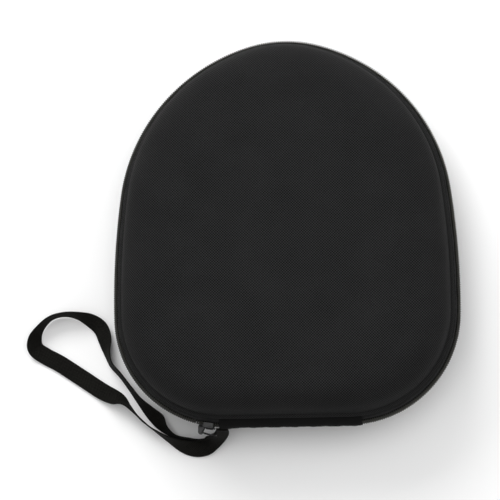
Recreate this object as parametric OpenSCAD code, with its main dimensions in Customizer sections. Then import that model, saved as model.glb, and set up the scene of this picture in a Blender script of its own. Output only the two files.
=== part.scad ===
// Hard zip-up carrying case for folded over-ear headphones.
// Two alike moulded shells meet on a zip that runs round all but the
// straight stretch at the hinge, where a sewn fabric strip joins them.
// X runs across the case, +Y points from the hinge to the arch, +Z up.
// The case lies on its base shell at z = 0, centred on x and y.

/* [Outline] */
// Half of the straight stretch of the outline along the hinge
flat_half = 35; // [30:1:40]
// Radius of the two corners beside the hinge
corner_r = 65; // [60:1:70]
// Radius of the long sides
side_r = 470; // [420:10:520]
// Radius of the flanks of the arch
flank_r = 107; // [104:1:110]
// Radius of the top of the arch
crown_r = 73; // [68:1:78]
// Angle at which a corner runs into its side
corner_end = -2; // [-3:0.5:0]
// Angle at which a side runs into its flank
side_end = 7; // [6:0.5:8]

/* [Shells] */
// Height of the closed case
case_h = 55; // [52:1:60]
// Height of each shell's sewn edge from the middle of the zip
seam_z = 5.9; // [5.7:0.1:6.1]
// How far the foot of the wall stands inside the zip's outer line
wall_in = 5.2; // [5:0.1:5.4]
// How far the wall leans in before the shoulder starts
wall_draft = 1.4; // [1:0.1:2]
// Width of the rounded shoulder
shoulder_w = 17; // [15:0.5:19]
// Height of the rounded shoulder
shoulder_h = 15; // [13:0.5:16]
// How far the rolled lip at the shell's edge stands out of the wall
lip_out = 1.1; // [0.9:0.1:1.2]

/* [Layers] */
// Thickness of the woven cover
cover_t = 0.8; // [0.6:0.1:1]
// Thickness of the foam core
core_t = 4; // [3:0.5:4.5]
// Thickness of the lining
lining_t = 0.8; // [0.6:0.1:1]

/* [Zip] */
// Height of one row of coil
coil_h = 2.5; // [2.3:0.1:2.6]
// Depth of the coil, from its face to the tape
coil_d = 2.4; // [2.2:0.1:2.5]
// Half of the gap between the two rows of coil
coil_gap = 0.4; // [0.35:0.05:0.5]
// Half of the slider's length, as an angle round its corner
slider_a = 4; // [3.5:0.25:4.5]
// Where the slider stands when the zip is shut, as an angle from the straight stretch
slider_at = 9.7; // [9.5:0.1:10.5]

/* [Hinge strip] */
// Left end of the strip
strip_left = -36; // [-37:0.5:-35.5]
// Right end of the strip
strip_right = 41.5; // [38:0.5:43]

/* [Pocket] */
// How far the net reaches from the hinge line
net_reach = 128; // [110:2:140]
// Height of the elastic edge of the net
elastic_w = 9; // [7:1:12]

/* [Strap] */
// Width of the woven ribbon
strap_w = 10; // [9:0.5:10]
// Thickness of the woven ribbon
strap_t = 0.8; // [0.8:0.1:1]

/* [Hidden] */
$fn = 96;

half_h = case_h / 2;
y0 = -112; // the hinge line, so that the case is centred on y
black = [0.12, 0.12, 0.12];
soft_black = [0.17, 0.17, 0.18];
metal = [0.3, 0.3, 0.31];

// centres of the outline's arcs, measured from the hinge line
c3 = [flat_half, corner_r];
c2 = c3 + (corner_r - side_r) * [cos(corner_end), sin(corner_end)];
c1 = c2 + (side_r - flank_r) * [cos(side_end), sin(side_end)];
flank_end = acos(-c1[0] / (flank_r - crown_r));
c0 = c1 + (flank_r - crown_r) * [cos(flank_end), sin(flank_end)];

left_a = asin((-strip_left - flat_half) / corner_r);
right_a = asin((strip_right - flat_half) / corner_r);
zip_gap = 0.35; // angle left free between the zip and the strip

// ---- sweeps of a profile [inset, height] along the outline ----

// profile points lie on a grid of a thousandth, so that neighbouring runs meet point to point
function fine(v) = round(v * 1000) / 1000;
function grid(prof, r) = [for (p = prof) [r - fine(p[0]), fine(p[1])]];

// a shift in two steps, to keep a long shift exact
module shift(c) translate([floor(c[0]), floor(c[1]), 0])
  translate([c[0] - floor(c[0]), c[1] - floor(c[1]), 0]) children();

module arc(c, r, from, to, prof)
  shift(c) rotate_extrude(angle = to - from, start = from) polygon(grid(prof, r));

module straight(from, to, prof)
  translate([from, 0, 0]) rotate([90, 0, 90])
    linear_extrude(height = to - from) polygon([for (p = prof) [fine(p[0]), fine(p[1])]]);

// right side of the outline from an angle past the straight stretch to the flank's end
module side_run(from, prof) {
  arc(c3, corner_r, from - 90, corner_end, prof);
  arc(c2, side_r, corner_end, side_end, prof);
  arc(c1, flank_r, side_end, flank_end, prof);
}

module crown_run(prof) arc(c0, crown_r, flank_end, 180 - flank_end, prof);

// short tongues inside the profile that carry it across each change of radius
module ties(core) {
  for (m = [0, 1]) mirror([m, 0, 0]) {
    arc(c3, corner_r, corner_end - 0.5, corner_end + 0.5, core);
    arc(c1, flank_r, side_end - 0.3, side_end + 0.3, core);
    arc(c1, flank_r, flank_end - 0.3, flank_end + 0.3, core);
  }
}

module ring(prof) {
  straight(-flat_half, flat_half, prof);
  side_run(0, prof);
  mirror([1, 0, 0]) side_run(0, prof);
  crown_run(prof);
}

// the zip's run, from a given angle on each corner round the arch
module zip_run(left, right, prof) {
  side_run(right, prof);
  mirror([1, 0, 0]) side_run(left, prof);
  crown_run(prof);
}

// points of the outline at one inset, for flat panels
function arc_pts(c, r, from, to, n) =
  [for (i = [0:n - 1]) let (a = from + (to - from) * (i + 0.5) / n) c + r * [cos(a), sin(a)]];
function right_pts(o) = concat(
  [[0, o]],
  arc_pts(c3, corner_r - o, -90, corner_end, 18),
  arc_pts(c2, side_r - o, corner_end, side_end, 4),
  arc_pts(c1, flank_r - o, side_end, flank_end, 14),
  arc_pts(c0, crown_r - o, flank_end, 90, 4),
  [[0, c0[1] + crown_r - o]]);
function outline(o) = let (r = right_pts(o), n = len(r))
  concat(r, [for (i = [n - 2:-1:1]) [-r[i][0], r[i][1]]]);

// ---- where each half stands ----

// lid half: heights are measured up from the middle of the zip
module lid_half() translate([0, y0, half_h]) children();
module base_half() translate([0, y0, half_h]) mirror([0, 0, 1]) children();

// ---- shell layers, between two depths under the outer face ----

shoulder_o = wall_in + wall_draft + shoulder_w;
shoulder_z = half_h - shoulder_h;
panel_o = shoulder_o + 3.6;

function shoulder(d, n = 6) =
  [for (i = [0:n]) let (a = 90 * i / n)
    [shoulder_o - (shoulder_w - d) * cos(a), shoulder_z + (shoulder_h - d) * sin(a)]];
// the panel's border falls away a little under the panel, so that the two never lie in one plane
fall = 0.02;
function skin(d) = concat([[wall_in + d, seam_z]], shoulder(d), [[shoulder_o + 4, half_h - d - fall]]);
function back(l) = [for (i = [len(l) - 1:-1:0]) l[i]];
lip = [[wall_in - lip_out + 0.2, seam_z], [wall_in - lip_out, seam_z + 1],
       [wall_in - lip_out, seam_z + 1.9], [wall_in - 0.6, seam_z + 2.7],
       [wall_in + 0.5, seam_z + 3.3]];

module panel(d1, d2)
  translate([0, 0, half_h - d2]) linear_extrude(height = d2 - d1) polygon(outline(panel_o));

module shell_layer(d1, d2) {
  ring(concat(skin(d1), back(skin(d2))));
  panel(d1, d2);
}

module shell_cover() {
  ring(concat(lip, shoulder(0), [[shoulder_o + 4, half_h - fall]], back(skin(cover_t))));
  panel(0, cover_t);
}

in_d = cover_t + core_t + lining_t; // depth of the lining's face
in_o = wall_in + in_d;
lean = wall_draft / (shoulder_z - seam_z);

// bias tape folded over the raw edge inside the seam
binding_core = [[in_o - 2.5, seam_z - 1.25], [in_o + 0.4, seam_z - 1.25], [in_o + 0.4, seam_z - 0.85], [in_o - 2.5, seam_z - 0.85]];
binding = [[in_o - 2.8, seam_z - 1.4], [in_o + 1, seam_z - 1.4], [in_o + 1 + 4 * lean, seam_z + 4],
           [in_o + 4 * lean, seam_z + 4], [in_o, seam_z], [in_o, seam_z - 0.7], [in_o - 2.8, seam_z - 0.7]];

// ---- zip ----

coil_top = coil_gap + coil_h;
tape = [[coil_d, coil_gap], [coil_d + 0.7, coil_gap], [coil_d + 0.7, coil_top - 0.3],
        [4.6, seam_z - 0.7], [in_o, seam_z - 0.7], [in_o, seam_z], [4.3, seam_z], [coil_d, coil_top]];
coil = [[0, coil_gap + 0.6], [0.5, coil_gap], [coil_d, coil_gap], [coil_d, coil_top],
        [0.5, coil_top], [0, coil_top - 0.6]];

tape_core = [[6, seam_z - 0.6], [in_o - 0.4, seam_z - 0.6], [in_o - 0.4, seam_z - 0.1], [6, seam_z - 0.1]];
coil_core = [[0.7, coil_gap + 0.3], [coil_d - 0.3, coil_gap + 0.3], [coil_d - 0.3, coil_top - 0.3], [0.7, coil_top - 0.3]];

// lock stitches lying on the sloping face of the tape
slope = [4.3 - coil_d, seam_z - coil_top];
out = [-slope[1], slope[0]] / norm(slope) * 0.35;
foot = [coil_d, coil_top];
function stitch(a, b, lo, hi) = [foot + slope * a + out * lo, foot + slope * b + out * lo,
                                 foot + slope * b + out * hi, foot + slope * a + out * hi];
thread = stitch(0.55, 0.75, 0, 1);
thread_core = stitch(0.58, 0.72, 0.15, 0.85);

zip_left = left_a + zip_gap;
zip_right = right_a + zip_gap;
// the lid's row starts beyond the slider, which holds the first stretch shut
lid_left = slider_at + slider_a + 1.4;

// ---- hinge strip: a sewn fabric channel from one shell's edge to the other's ----

function flip(l) = [for (i = [len(l) - 1:-1:0]) [l[i][0], -l[i][1]]];
strip_out = [[in_o, seam_z], [4.3, seam_z], [1.6, 4.4], [0.1, 2.8], [-0.4, 1.4]];
strip_in = [[in_o, seam_z - 0.7], [4.6, seam_z - 0.7], [2.2, 3.8], [0.8, 2.4], [0.4, 1.2]];
strip = concat(strip_out, flip(strip_out), strip_in_back());
function strip_in_back() = concat([for (i = [0:4]) [strip_in[i][0], -strip_in[i][1]]],
                                  [for (i = [4:-1:0]) strip_in[i]]);
bind_z = seam_z - 1.4;
inner_strip = [[9.2, bind_z], [8.3, bind_z], [6.8, 2.2], [6.8, -2.2], [8.3, -bind_z],
               [9.2, -bind_z], [7.6, -2], [7.6, 2]];

// ---- slider and pull ----

corner_left = [-flat_half, corner_r];

// frame on the left corner: x out of the case, y along the zip towards the hinge, z up
module on_corner(a)
  translate([0, y0, half_h]) translate([corner_left[0], corner_left[1], 0])
    rotate([0, 0, -90 - a]) translate([corner_r, 0, 0]) children();

module corner_arc(a, half, prof)
  translate([0, y0, half_h]) arc(corner_left, corner_r, -90 - a - half, -90 - a + half, prof);

ear_at = slider_at + 2.6;
bar_x = 4;
bar_r = 0.6;
pull_l = 9.6;

// ---- strap route: [x, y from the hinge line, z], then the way the ribbon's width points ----

route = [
  [[-35.9, -0.8, 28.6], [-1, 0, 0]],
  [[-35.9, -0.8, 25.6], [-1, 0, 0]],
  [[-36.3, -1.5, 22], [-1, 0, 0.1]],
  [[-37.6, -2.6, 17.8], [-1, 0, 0.35]],
  [[-40.4, -3.2, 13.2], [-0.85, 0, 0.55]],
  [[-44.6, -4, 9.2], [-0.6, -0.1, 0.8]],
  [[-50, -4.9, 6.5], [-0.25, -0.2, 1]],
  [[-57, -4.6, 5.4], [0, 0, 1]],
  [[-66.5, -3.6, 5.2], [-0.1, 0.2, 1]],
  [[-72.6, 0.8, 4.6], [-0.4, 0.5, 0.8]],
  [[-77.4, 6.6, 2.8], [-0.6, 0.6, 0.3]],
  [[-82.6, 11.6, 3.2], [-0.5, 0.6, 0.5]],
  [[-89, 18.6, 4.8], [-0.2, 0.3, 0.9]],
  [[-94.6, 26.2, 5.4], [0, 0.1, 1]],
  [[-100.3, 33.8, 5.4], [0.1, 0, 1]],
  [[-105.8, 40.2, 5.4], [0.2, 0, 1]],
  [[-108.2, 47, 5], [0.5, 0, 0.9]],
  [[-110, 55.6, 3.8], [0.9, 0.1, 0.5]],
  [[-113, 62.6, 3], [0.8, 0.6, 0.4]],
  [[-118.6, 67, 3.8], [0.3, 0.8, 0.7]],
  [[-126, 69.9, 5], [0, 0.4, 1]],
  [[-134.5, 71, 5.4], [0, 0.1, 1]],
  [[-142.8, 69, 5.4], [-0.1, 0, 1]],
  [[-149.2, 63, 5.2], [-0.3, 0, 1]],
  [[-152.6, 56.6, 3.8], [-0.7, -0.2, 0.7]],
  [[-152.2, 51, 1.6], [-0.6, -0.8, 0.2]],
  [[-146.6, 46.8, 0.9], [-0.5, -0.9, 0]],
  [[-137.4, 41.8, 0.9], [-0.5, -0.9, 0]],
  [[-124, 33, 0.9], [-0.6, -0.8, 0]],
  [[-111.6, 24.8, 1.2], [-0.5, -0.8, 0.1]],
  [[-103, 20.4, 2.6], [-0.4, -0.7, 0.5]],
  [[-96.6, 16.4, 5], [-0.1, -0.2, 1]],
  [[-91, 10.6, 5.4], [0, 0, 1]],
  [[-85.4, 5.2, 5.4], [0, 0, 1]],
  [[-79.6, 0.8, 5.3], [0, 0.1, 1]],
  [[-71.2, -4.6, 5], [0.1, 0.3, 1]],
  [[-62.6, -8.6, 3.6], [0.1, 0.7, 0.7]],
  [[-55.4, -9.9, 2.2], [0, 1, 0.3]],
  [[-49.4, -9, 2.6], [-0.4, 0.9, 0]],
  [[-45.2, -6.8, 6.6], [-0.8, 0.6, 0]],
  [[-41.6, -5.4, 12], [-0.9, 0.2, 0]],
  [[-38.4, -4.4, 17.6], [-0.9, 0, 0.1]],
  [[-36.2, -2.9, 22], [-1, 0, 0]],
  [[-35.7, -1.8, 25.6], [-1, 0, 0]],
  [[-35.7, -1.6, 28.6], [-1, 0, 0]]
];

function unit(v) = v / norm(v);
n_ring = len(route);
function along(i) = unit(route[min(n_ring - 1, i + 1)][0] - route[max(0, i - 1)][0]);
function across(i) = let (t = along(i), w = route[i][1]) unit(w - (w * t) * t);
// the ribbon never dips under the surface that the case lies on
function low(i) = let (w = across(i), n = cross(along(i), w)) (abs(w[2]) * strap_w + abs(n[2]) * strap_t) / 2 + 0.05;
function spot(i) = let (p = route[i][0]) [p[0], p[1] + y0, max(p[2], low(i))];
section = [[1, 0.25], [0.92, 1], [-0.92, 1], [-1, 0.25], [-1, -0.25], [-0.92, -1], [0.92, -1], [1, -0.25]];
function ring_pts(i) = let (w = across(i), n = cross(along(i), w))
  [for (s = section) spot(i) + w * s[0] * strap_w / 2 + n * s[1] * strap_t / 2];

module ribbon() {
  pts = [for (i = [0:n_ring - 1]) each ring_pts(i)];
  m = len(section);
  // both faces fold along the same diagonal, so a twist leaves the thickness whole
  sides = [for (i = [0:n_ring - 2], j = [0:m - 1]) let (a = i * m + j, b = i * m + (j + 1) % m)
    each (j < m / 2 ? [[a, a + m, b], [b, a + m, b + m]] : [[a, a + m, b + m], [a, b + m, b]])];
  caps = concat([for (j = [1:m - 2]) [0, j, j + 1]],
                [for (j = [1:m - 2]) let (q = (n_ring - 1) * m) [q, q + j + 1, q + j]]);
  polyhedron(points = pts, faces = concat(sides, caps), convexity = 8);
}

// ---- sub-parts ----

module base_cover() { color(black) base_half() shell_cover(); }
module base_core() { color([0.25, 0.25, 0.26]) base_half() shell_layer(cover_t, cover_t + core_t); }
module base_lining() { color(soft_black) base_half() shell_layer(cover_t + core_t, in_d); }
module base_binding() { color(black) base_half() { ring(binding); ties(binding_core); } }
module base_zip_tape() { color(black) base_half() { zip_run(zip_left, zip_right, tape); ties(tape_core); } }
module base_zip_coil() { color(soft_black) base_half() { zip_run(zip_left, zip_right, coil); ties(coil_core); } }
module base_seam_thread() { color(black) base_half() { zip_run(zip_left, zip_right, thread); ties(thread_core); } }

module lid_cover() { color(black) lid_half() shell_cover(); }
module lid_core() { color([0.25, 0.25, 0.26]) lid_half() shell_layer(cover_t, cover_t + core_t); }
module lid_lining() { color(soft_black) lid_half() shell_layer(cover_t + core_t, in_d); }
module lid_binding() { color(black) lid_half() { ring(binding); ties(binding_core); } }
module lid_zip_tape() { color(black) lid_half() { zip_run(lid_left, zip_right, tape); ties(tape_core); } }
module lid_zip_coil() { color(soft_black) lid_half() { zip_run(lid_left, zip_right, coil); ties(coil_core); } }
module lid_seam_thread() { color(black) lid_half() { zip_run(lid_left, zip_right, thread); ties(thread_core); } }

module hinge_gusset() {
  color(black) translate([0, y0, half_h]) {
    straight(-flat_half, flat_half, strip);
    arc(c3, corner_r, -90, right_a - 90, strip);
    mirror([1, 0, 0]) arc(c3, corner_r, -90, left_a - 90, strip);
  }
}

module hinge_lining() {
  color(soft_black) translate([0, y0, half_h]) straight(-flat_half, flat_half, inner_strip);
}

// net sewn into the lid's shoulder along three sides
net_z = half_h - in_d - 3;
net_o = shoulder_o - (shoulder_w - in_d) * cos(asin((net_z - shoulder_z) / (shoulder_h - in_d))) + 0.7;

module mesh_pocket() {
  color([0.15, 0.15, 0.15, 0.8]) lid_half() translate([0, 0, net_z]) linear_extrude(height = 0.5)
    intersection() {
      polygon(outline(net_o));
      translate([-110, 0]) square([220, net_reach]);
    }
}

module pocket_elastic() {
  color(black) lid_half() translate([0, 0, net_z - 0.4]) linear_extrude(height = 1.3)
    intersection() {
      polygon(outline(net_o));
      translate([-110, net_reach]) square([220, elastic_w]);
    }
}

module slider_body() {
  color(metal) {
    corner_arc(slider_at, slider_a, [
      [-1.4, -3.8], [-1.4, 3.8], [-0.9, 4.4], [1.9, 4.4], [1.9, coil_top + 0.3], [-0.3, coil_top + 0.3],
      [-0.3, -coil_top - 0.3], [1.9, -coil_top - 0.3], [1.9, -4.4], [-0.9, -4.4]]);
    corner_arc(slider_at, slider_a, [[3.4, -2.1], [3.4, 2.1], [4.3, 2.1], [4.3, -2.1]]);
    corner_arc(slider_at - slider_a + 1.2, 1.2, [[-0.6, -0.12], [-0.6, 0.12], [3.7, 0.12], [3.7, -0.12]]);
    on_corner(ear_at) {
      for (s = [-1, 1]) translate([0, 0, s * 2.5]) {
        translate([0.8, -1.3, -0.5]) cube([bar_x - 0.8, 2.6, 1]);
        translate([bar_x, 0, -0.5]) cylinder(r = 1.3, h = 1);
      }
      translate([bar_x, 0, -2.4]) cylinder(r = bar_r, h = 4.8);
    }
  }
}

module pull_tab() {
  color(metal) on_corner(ear_at) difference() {
    union() {
      translate([bar_x, 0, -1.7]) cylinder(r = 1.35, h = 3.4);
      translate([bar_x - 0.5, 0, -1.7]) cube([1, 3, 3.4]);
      translate([bar_x - 0.5, 0, 0]) rotate([90, 0, 90]) linear_extrude(height = 1) {
        translate([2, -2.9]) square([pull_l - 4.9, 5.8]);
        translate([pull_l - 2.9, 0]) circle(r = 2.9);
      }
    }
    translate([bar_x, 0, -2]) cylinder(r = bar_r + 0.08, h = 4);
    translate([bar_x - 1, pull_l - 2.9, 0]) rotate([0, 90, 0]) cylinder(r = 1.2, h = 2);
  }
}

module strap_bartack() {
  color(black) translate([strip_left - 2.2, y0 - 2.3, half_h - 0.5]) cube([3.4, 1.9, 0.9]);
}

module hand_strap() { color(black) ribbon(); }

base_cover();
base_core();
base_lining();
base_binding();
base_zip_tape();
base_zip_coil();
base_seam_thread();
lid_cover();
lid_core();
lid_lining();
lid_binding();
lid_zip_tape();
lid_zip_coil();
lid_seam_thread();
hinge_gusset();
hinge_lining();
mesh_pocket();
pocket_elastic();
slider_body();
pull_tab();
strap_bartack();
hand_strap();
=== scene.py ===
import bpy
import math
import random
from mathutils import Vector, Matrix, noise


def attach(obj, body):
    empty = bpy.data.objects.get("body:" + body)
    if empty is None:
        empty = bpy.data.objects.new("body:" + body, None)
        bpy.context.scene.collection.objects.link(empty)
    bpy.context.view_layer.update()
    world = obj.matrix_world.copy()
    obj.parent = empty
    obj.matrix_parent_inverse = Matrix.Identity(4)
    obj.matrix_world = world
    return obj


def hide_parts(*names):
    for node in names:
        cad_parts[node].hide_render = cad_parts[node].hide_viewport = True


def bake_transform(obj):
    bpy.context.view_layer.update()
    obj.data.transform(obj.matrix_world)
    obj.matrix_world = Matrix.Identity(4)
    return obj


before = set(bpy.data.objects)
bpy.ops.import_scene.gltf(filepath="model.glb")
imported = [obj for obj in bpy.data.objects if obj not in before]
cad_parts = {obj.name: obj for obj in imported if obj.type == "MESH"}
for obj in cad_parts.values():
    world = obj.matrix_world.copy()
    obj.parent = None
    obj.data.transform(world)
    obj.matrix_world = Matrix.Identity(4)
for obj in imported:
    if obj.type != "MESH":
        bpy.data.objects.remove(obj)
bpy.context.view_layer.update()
MM = 0.001
rnd = random.Random(7)

# ------------------------------------------------------------------ camera
PIVOT = Vector((0.0, 2.515, 27.5))  # mm, the point that the view turns about
ROT = (
    Matrix.Rotation(-0.2007, 3, "X")
    @ Matrix.Rotation(-0.0960, 3, "Y")
    @ Matrix.Rotation(0.0091, 3, "Z")
)
SHIFT = Vector((20.258, 12.172, -900.0))
cam_data = bpy.data.cameras.new("camera")
cam = bpy.data.objects.new("camera", cam_data)
bpy.context.scene.collection.objects.link(cam)
cam.location = (PIVOT + ROT.transposed() @ (-SHIFT)) * MM
cam.rotation_mode = "QUATERNION"
cam.rotation_quaternion = ROT.transposed().to_quaternion()
cam_data.sensor_width = 36.0
cam_data.lens = 111.29
cam_data.clip_start, cam_data.clip_end = 0.05, 20.0
bpy.context.scene.camera = cam

# ------------------------------------------------------------------ outline, in mm, from the hinge line
Y0, HALF = -112.0, 27.5
FLAT, R3, R2, R1, R0 = 35.0, 65.0, 470.0, 107.0, 73.0
A32, A21 = -2.0, 7.0


def polar(c, r, a):
    return (c[0] + r * math.cos(math.radians(a)), c[1] + r * math.sin(math.radians(a)))


C3 = (FLAT, R3)
C2 = polar(C3, R3 - R2, A32)
C1 = polar(C2, R2 - R1, A21)
A10 = math.degrees(math.acos(-C1[0] / (R1 - R0)))
C0 = polar(C1, R1 - R0, A10)
RUNS = [
    (C3, R3, -90.0, A32),
    (C2, R2, A32, A21),
    (C1, R1, A21, A10),
    (C0, R0, A10, 90.0),
]
LENS = [FLAT] + [r * math.radians(b - a) for _, r, a, b in RUNS]
HALF_L = sum(LENS)
LOOP = 2 * HALF_L


def station(s):
    """Point on the outer line and its outward normal, s mm along from the middle of the hinge."""
    s = s % LOOP
    side = 1
    if s > HALF_L:
        s, side = LOOP - s, -1
    if s <= FLAT:
        return (side * s, 0.0), (0.0, -1.0)
    s -= FLAT
    for (c, r, a, b), length in zip(RUNS, LENS[1:]):
        if s <= length + 1e-9:
            t = a + math.degrees(s / r)
            p = polar(c, r, t)
            n = (math.cos(math.radians(t)), math.sin(math.radians(t)))
            return (side * p[0], p[1]), (side * n[0], n[1])
        s -= length
    return (0.0, C0[1] + R0), (0.0, 1.0)


def at(s, o, z):
    """World point, in mm: o inward from the outer line, z above the floor."""
    (px, py), (nx, ny) = station(s)
    return Vector((px - o * nx, py - o * ny + Y0, z))


def corner_s(angle, left=True):
    s = FLAT + R3 * math.radians(angle)
    return LOOP - s if left else s


def stations(a, b, step):
    n = max(2, int(round((b - a) / step)) + 1)
    return [a + (b - a) * i / (n - 1) for i in range(n)]


# ------------------------------------------------------------------ mesh helpers
def new_object(name, verts, faces, uvs=None, smooth=True, sharp=None):
    """A mesh from points in mm. uvs holds one pair per vertex, or one list per face."""
    me = bpy.data.meshes.new(name)
    me.from_pydata([tuple(v * MM) for v in verts], [], faces)
    if uvs:
        layer = me.uv_layers.new(name="weave")
        per_face = isinstance(uvs[0][0], (list, tuple))
        for k, poly in enumerate(me.polygons):
            for j, li in enumerate(poly.loop_indices):
                layer.data[li].uv = uvs[k][j] if per_face else uvs[me.loops[li].vertex_index]
    me.polygons.foreach_set("use_smooth", [smooth] * len(me.polygons))
    me.validate()
    ob = bpy.data.objects.new(name, me)
    bpy.context.scene.collection.objects.link(ob)
    if sharp is not None and smooth:
        sharpen(ob, sharp)
    return ob


def sharpen(ob, degrees):
    me = ob.data
    import bmesh
    bm = bmesh.new()
    bm.from_mesh(me)
    lim = math.radians(degrees)
    for e in bm.edges:
        e.smooth = not (len(e.link_faces) != 2 or e.calc_face_angle(0) > lim)
    bm.to_mesh(me)
    bm.free()


def outward(ob):
    """Faces of a closed mesh turned outward."""
    import bmesh
    bm = bmesh.new()
    bm.from_mesh(ob.data)
    bmesh.ops.recalc_face_normals(bm, faces=bm.faces)
    bm.to_mesh(ob.data)
    bm.free()
    return ob


def grid_mesh(name, rows, uvs, closed_rows, closed_cols, caps=False, sharp=None, smooth=True):
    """rows of points joined by quads. uvs are (u, v) per point; a closed direction repeats its first uv one period on."""
    m, n = len(rows), len(rows[0])
    verts = [p for r in rows for p in r]
    faces, fuv = [], []
    for i in range(m if closed_rows else m - 1):
        for j in range(n if closed_cols else n - 1):
            i2, j2 = (i + 1) % m, (j + 1) % n
            faces.append((i * n + j, i * n + j2, i2 * n + j2, i2 * n + j))
            ui, uj = (uvs["rows"][i], uvs["rows"][i + 1]), (uvs["cols"][j], uvs["cols"][j + 1])
            fuv.append([(ui[0], uj[0]), (ui[0], uj[1]), (ui[1], uj[1]), (ui[1], uj[0])])
    if caps and not closed_rows:
        faces.append(tuple(range(n - 1, -1, -1)))
        fuv.append([(uvs["rows"][0], uvs["cols"][j]) for j in range(n - 1, -1, -1)])
        faces.append(tuple((m - 1) * n + j for j in range(n)))
        fuv.append([(uvs["rows"][-1], uvs["cols"][j]) for j in range(n)])
    return outward(new_object(name, verts, faces, fuv, smooth, sharp))


def lengths(points):
    out = [0.0]
    for a, b in zip(points, points[1:]):
        out.append(out[-1] + (Vector(b) - Vector(a)).length)
    return out


def sweep(name, s_list, prof, sign, closed=False, sharp=35, wave=None):
    """A closed profile of (o, h) swept along the outline. sign is 1 on the lid and -1 on the base."""
    rows = []
    for s in s_list:
        row = []
        for k, (o, h) in enumerate(prof):
            do, dh = wave(s, o, h) if wave else (0.0, 0.0)
            row.append(at(s, o + do, HALF + sign * (h + dh)))
        rows.append(row)
    cols = lengths([(p[0], p[1], 0) for p in prof] + [(prof[0][0], prof[0][1], 0)])
    rl = list(s_list) + ([s_list[0] + LOOP] if closed else [])
    uv = {"rows": [x / 100 for x in rl], "cols": [x / 100 for x in cols]}
    return grid_mesh(name, rows, uv, closed, True, caps=not closed, sharp=sharp)


def soften(prof, n=3, r=0.25):
    """Rounds a closed profile's corners."""
    out, m = [], len(prof)
    for i in range(m):
        a, b, c = (Vector((*prof[(i + k) % m], 0)) for k in (-1, 0, 1))
        ra = min(r, (a - b).length * 0.4)
        rc = min(r, (c - b).length * 0.4)
        p, q = b + (a - b).normalized() * ra, b + (c - b).normalized() * rc
        for k in range(n + 1):
            t = k / n
            v = p * (1 - t) ** 2 + b * 2 * t * (1 - t) + q * t * t
            out.append((v.x, v.y))
    return out


# ------------------------------------------------------------------ materials
def socket(node, name, value):
    node.inputs[name].default_value = value


class Nodes:
    def __init__(self, name):
        self.mat = bpy.data.materials.new(name)
        self.mat.use_nodes = True
        self.t = self.mat.node_tree
        self.t.nodes.clear()
        self.out = self.t.nodes.new("ShaderNodeOutputMaterial")
        self.bsdf = self.t.nodes.new("ShaderNodeBsdfPrincipled")
        self.link(self.bsdf.outputs[0], self.out.inputs[0])

    def link(self, a, b):
        self.t.links.new(a, b)

    def math(self, op, a, b=None, c=None, clamp=False):
        n = self.t.nodes.new("ShaderNodeMath")
        n.operation = op
        n.use_clamp = clamp
        for i, v in enumerate((a, b, c)):
            if v is None:
                continue
            if isinstance(v, (int, float)):
                n.inputs[i].default_value = v
            else:
                self.link(v, n.inputs[i])
        return n.outputs[0]

    def ramp(self, v, lo, hi, a=0.0, b=1.0):
        n = self.t.nodes.new("ShaderNodeMapRange")
        self.link(v, n.inputs[0])
        for i, x in enumerate((lo, hi, a, b)):
            n.inputs[i + 1].default_value = x
        return n.outputs[0]

    def colour(self, v, a, b):
        n = self.t.nodes.new("ShaderNodeMix")
        n.data_type = "RGBA"
        self.link(v, n.inputs[0])
        n.inputs[6].default_value = (*a, 1)
        n.inputs[7].default_value = (*b, 1)
        return n.outputs[2]

    def uv(self):
        n = self.t.nodes.new("ShaderNodeUVMap")
        n.uv_map = "weave"
        s = self.t.nodes.new("ShaderNodeSeparateXYZ")
        self.link(n.outputs[0], s.inputs[0])
        return s.outputs[0], s.outputs[1], n.outputs[0]

    def place(self):
        n = self.t.nodes.new("ShaderNodeTexCoord")
        return n.outputs["Object"]

    def noise(self, vec, scale, detail=3.0, rough=0.55):
        n = self.t.nodes.new("ShaderNodeTexNoise")
        if vec is not None:
            self.link(vec, n.inputs["Vector"])
        socket(n, "Scale", scale)
        socket(n, "Detail", detail)
        socket(n, "Roughness", rough)
        return n.outputs[0]

    def bump(self, height, strength, distance, normal=None):
        n = self.t.nodes.new("ShaderNodeBump")
        socket(n, "Strength", strength)
        socket(n, "Distance", distance)
        self.link(height, n.inputs["Height"])
        if normal is not None:
            self.link(normal, n.inputs["Normal"])
        return n.outputs[0]

    def normal(self, n):
        self.link(n, self.bsdf.inputs["Normal"])


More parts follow.
